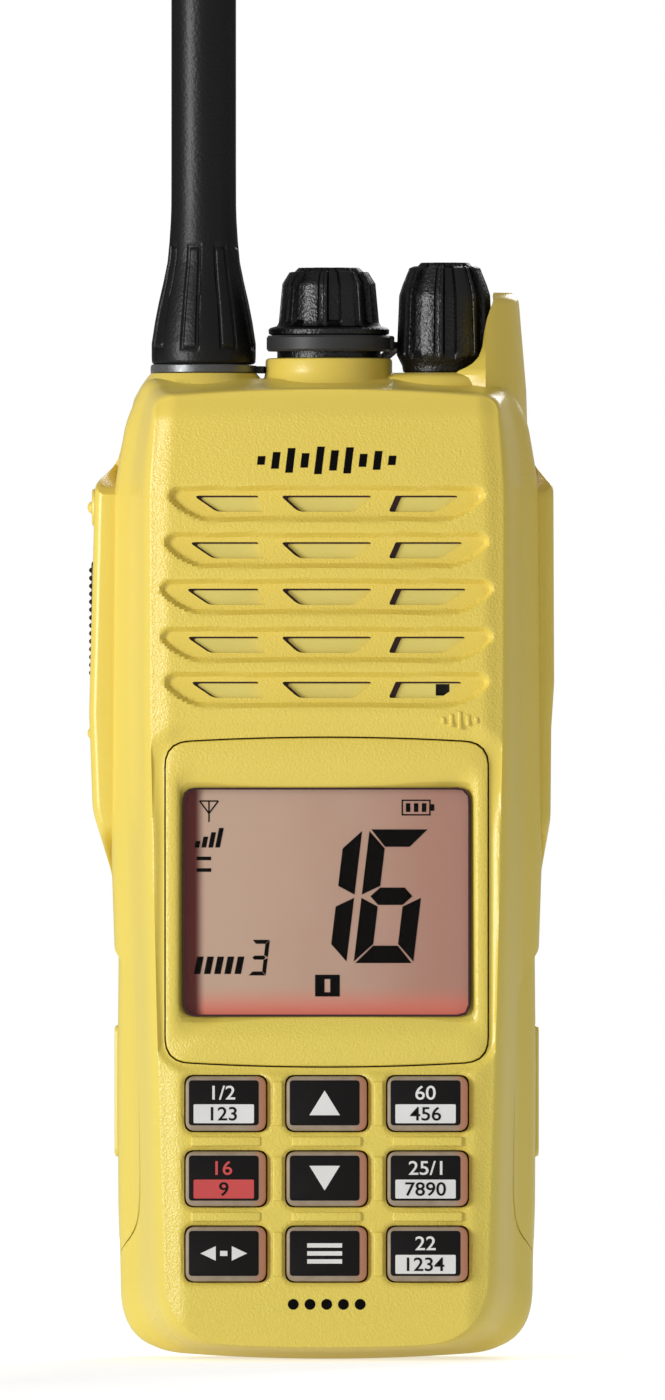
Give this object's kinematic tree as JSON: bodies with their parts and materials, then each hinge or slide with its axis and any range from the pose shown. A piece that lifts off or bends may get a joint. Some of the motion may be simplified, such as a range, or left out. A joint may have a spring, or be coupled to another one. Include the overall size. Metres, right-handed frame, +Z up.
{
  "type": "handheld marine radio",
  "caption": "Rugged handheld two-way radio with keypad, back-lit display, screw-on antenna, volume knob, capped accessory jack, removable battery pack and belt clip.",
  "frame": {"origin": "centre of the flat base", "axes": "+Z up towards the antenna, display and keys face -Y, push-to-talk button on the -X side"},
  "size_m": [0.0658, 0.0422, 0.284],
  "materials": {
    "case_yellow": "fine moulded grain",
    "case_rear": "fine moulded grain",
    "inner_plastic": "satin",
    "soft_black": "fine grain",
    "grey_rubber": "matt",
    "clip_black": "fine grain",
    "clear_lens": "polished",
    "lcd_glass": "back-lit",
    "backlight_white": "smooth",
    "speaker_paper": "matt",
    "steel": "plated",
    "cast_alloy": "cast",
    "brass": "machined",
    "board_green": "solder mask",
    "key_amber": "translucent silicone"
  },
  "bodies": {
    "root": {"front_shell": "case_yellow", "rear_shell": "case_rear", "case_gasket": "soft_black", "case_screws": "steel", "chassis": "cast_alloy", "screen_bezel": "case_yellow", "lens": "clear_lens", "lcd_panel": "lcd_glass", "lcd_backlight": "backlight_white", "lcd_frame": "inner_plastic", "grille_baffle": "case_yellow", "speaker_basket": "steel", "speaker_cone": "speaker_paper", "microphone": "steel", "keypad_mat": "grey_rubber", "dome_sheet": "backlight_white", "control_board": "board_green", "main_board": "board_green", "shield_cans": "steel", "board_screws": "steel", "battery_terminals": "inner_plastic", "antenna_socket": "brass", "antenna_washer": "steel", "accessory_jack": "inner_plastic", "tether_strap": "soft_black", "volume_control": "inner_plastic", "side_switch_board": "board_green", "clip_base": "clip_black", "clip_screws": "steel", "clip_pin": "steel", "clip_spring": "steel"},
    "antenna_lift": {"antenna_seal": "soft_black"},
    "antenna": {"antenna_whip": "soft_black", "antenna_stud": "brass", "antenna_coil": "brass"},
    "cap_lift": {"cap_ring": "grey_rubber"},
    "jack_cap": {"jack_cap": "soft_black", "cap_seal": "soft_black"},
    "volume": {"volume_knob": "soft_black", "volume_shaft": "steel"},
    "key_1": {"key_1": "key_amber"},
    "key_2": {"key_2": "key_amber"},
    "key_3": {"key_3": "key_amber"},
    "key_4": {"key_4": "key_amber"},
    "key_5": {"key_5": "key_amber"},
    "key_6": {"key_6": "key_amber"},
    "key_7": {"key_7": "key_amber"},
    "key_8": {"key_8": "key_amber"},
    "key_9": {"key_9": "key_amber"},
    "ptt": {"ptt_button": "soft_black"},
    "side_key_upper": {"side_key_upper": "case_yellow"},
    "side_key_lower": {"side_key_lower": "case_yellow"},
    "battery_pack": {"battery_case": "case_yellow", "battery_cover": "inner_plastic", "pack_contacts": "brass", "battery_cells": "steel", "latch_springs": "steel"},
    "latch_left": {"latch_left": "case_yellow"},
    "latch_right": {"latch_right": "case_yellow"},
    "belt_clip": {"belt_clip": "clip_black"}
  },
  "joints": [
    {"name": "antenna_rise", "type": "slide", "parent": "root", "child": "antenna_lift", "axis": [0, 0, 1], "range_m": [0, 0.0037]},
    {"name": "antenna_screw", "type": "hinge", "parent": "antenna_lift", "child": "antenna", "pos_m": [-0.017, 0.001, 0.136], "axis": [0, 0, 1], "range_deg": [0, 1080]},
    {"name": "cap_rise", "type": "slide", "parent": "root", "child": "cap_lift", "axis": [0, 0, 1], "range_m": [0, 0.0037]},
    {"name": "cap_screw", "type": "hinge", "parent": "cap_lift", "child": "jack_cap", "pos_m": [0.0003, 0.001, 0.14], "axis": [0, 0, 1], "range_deg": [0, 1080]},
    {"name": "volume_turn", "type": "hinge", "parent": "root", "child": "volume", "pos_m": [0.0163, 0.001, 0.142], "axis": [0, 0, -1], "range_deg": [-150, 150]},
    {"name": "key_1_press", "type": "slide", "parent": "root", "child": "key_1", "axis": [0, 1, 0], "range_m": [0, 0.0007]},
    {"name": "key_2_press", "type": "slide", "parent": "root", "child": "key_2", "axis": [0, 1, 0], "range_m": [0, 0.0007]},
    {"name": "key_3_press", "type": "slide", "parent": "root", "child": "key_3", "axis": [0, 1, 0], "range_m": [0, 0.0007]},
    {"name": "key_4_press", "type": "slide", "parent": "root", "child": "key_4", "axis": [0, 1, 0], "range_m": [0, 0.0007]},
    {"name": "key_5_press", "type": "slide", "parent": "root", "child": "key_5", "axis": [0, 1, 0], "range_m": [0, 0.0007]},
    {"name": "key_6_press", "type": "slide", "parent": "root", "child": "key_6", "axis": [0, 1, 0], "range_m": [0, 0.0007]},
    {"name": "key_7_press", "type": "slide", "parent": "root", "child": "key_7", "axis": [0, 1, 0], "range_m": [0, 0.0007]},
    {"name": "key_8_press", "type": "slide", "parent": "root", "child": "key_8", "axis": [0, 1, 0], "range_m": [0, 0.0007]},
    {"name": "key_9_press", "type": "slide", "parent": "root", "child": "key_9", "axis": [0, 1, 0], "range_m": [0, 0.0007]},
    {"name": "ptt_press", "type": "slide", "parent": "root", "child": "ptt", "axis": [1, 0, 0], "range_m": [0, 0.0009]},
    {"name": "side_key_upper_press", "type": "slide", "parent": "root", "child": "side_key_upper", "axis": [1, 0, 0], "range_m": [0, 0.0009]},
    {"name": "side_key_lower_press", "type": "slide", "parent": "root", "child": "side_key_lower", "axis": [1, 0, 0], "range_m": [0, 0.0009]},
    {"name": "pack_slide", "type": "slide", "parent": "root", "child": "battery_pack", "axis": [0, 1, 0], "range_m": [0, 0.03]},
    {"name": "latch_left_press", "type": "slide", "parent": "battery_pack", "child": "latch_left", "axis": [1, 0, 0], "range_m": [0, 0.001], "deforming": ["latch_springs"]},
    {"name": "latch_right_press", "type": "slide", "parent": "battery_pack", "child": "latch_right", "axis": [-1, 0, 0], "range_m": [0, 0.001], "deforming": ["latch_springs"]},
    {"name": "clip_open", "type": "hinge", "parent": "root", "child": "belt_clip", "pos_m": [0, 0.0194, 0.11], "axis": [1, 0, 0], "range_deg": [0, 25], "deforming": ["clip_spring"]}
  ],
  "couplings": [
    {"joint": "antenna_rise", "follows": "antenna_screw", "m_per_rad": 0.00019099},
    {"joint": "cap_rise", "follows": "cap_screw", "m_per_rad": 0.00019099}
  ]
}
